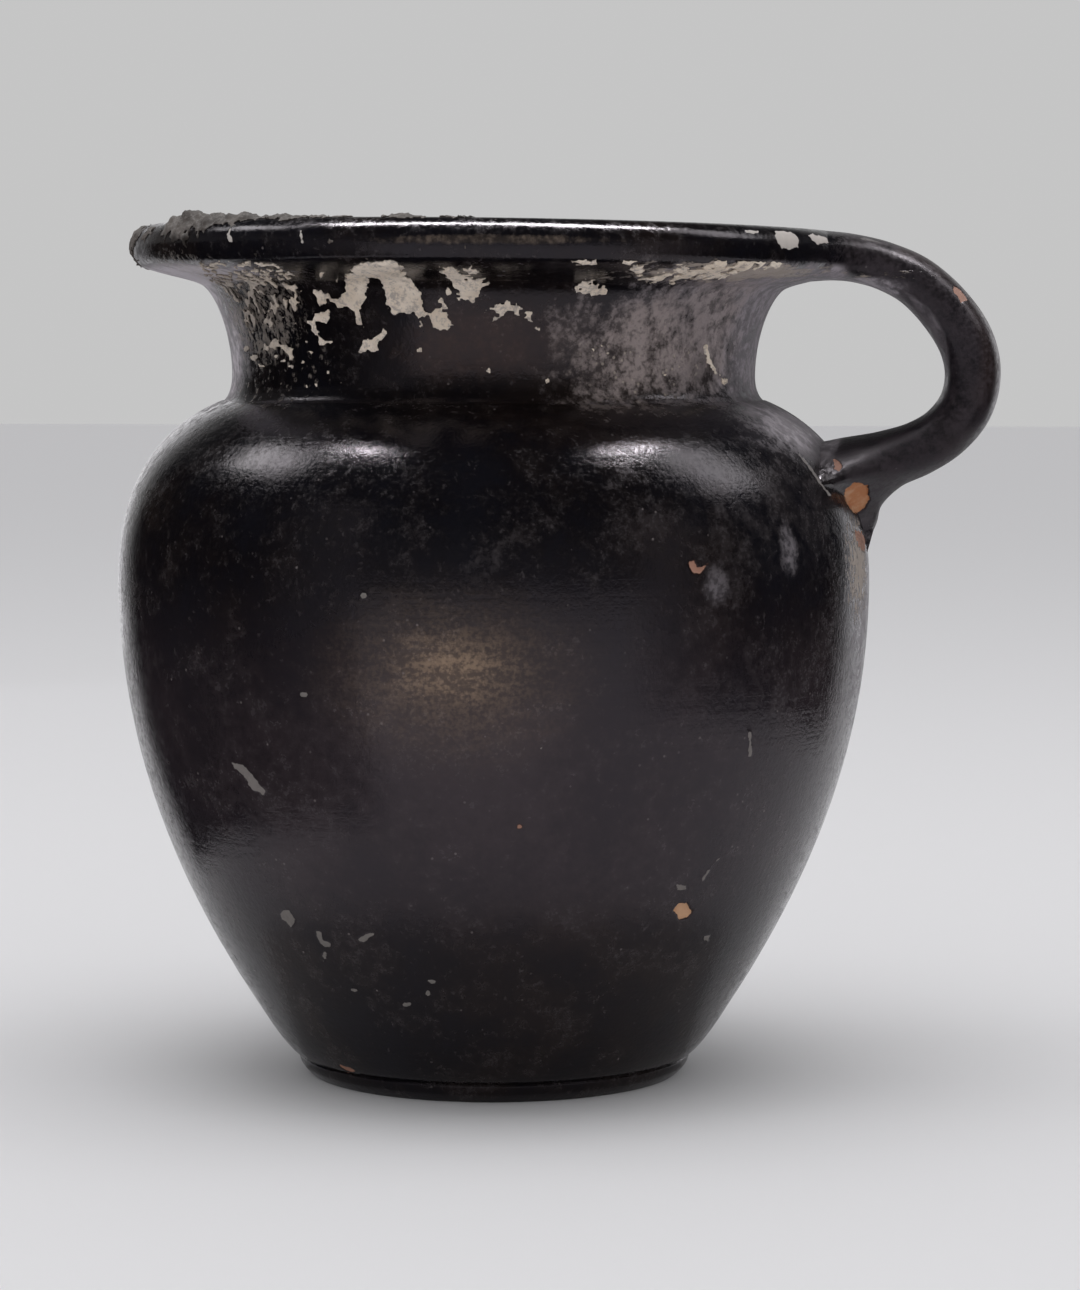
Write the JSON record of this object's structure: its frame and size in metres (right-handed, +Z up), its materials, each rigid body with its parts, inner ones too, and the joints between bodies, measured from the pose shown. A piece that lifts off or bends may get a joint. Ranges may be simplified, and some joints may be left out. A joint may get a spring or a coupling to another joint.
{
  "type": "olpe",
  "caption": "Small black-glazed thrown jug with a low foot, ovoid belly, concave neck, thick lip and one strap handle, crusted under the lip.",
  "frame": {"origin": "middle of the flat underside of the foot", "axes": "+Z up along the wheel's axis, +X from the axis out through the handle"},
  "size_m": [0.1216, 0.104, 0.1187],
  "materials": {
    "black_glaze": "worn semi-gloss black slip over orange clay",
    "lime_crust": "matt rough lime and soil crust"
  },
  "bodies": {
    "root": {"foot": "black_glaze", "body": "black_glaze", "neck": "black_glaze", "lip": "black_glaze", "upper_handle_root": "black_glaze", "handle": "black_glaze", "lower_handle_root": "black_glaze", "rim_crust": "lime_crust", "neck_crust": "lime_crust"}
  },
  "joints": []
}
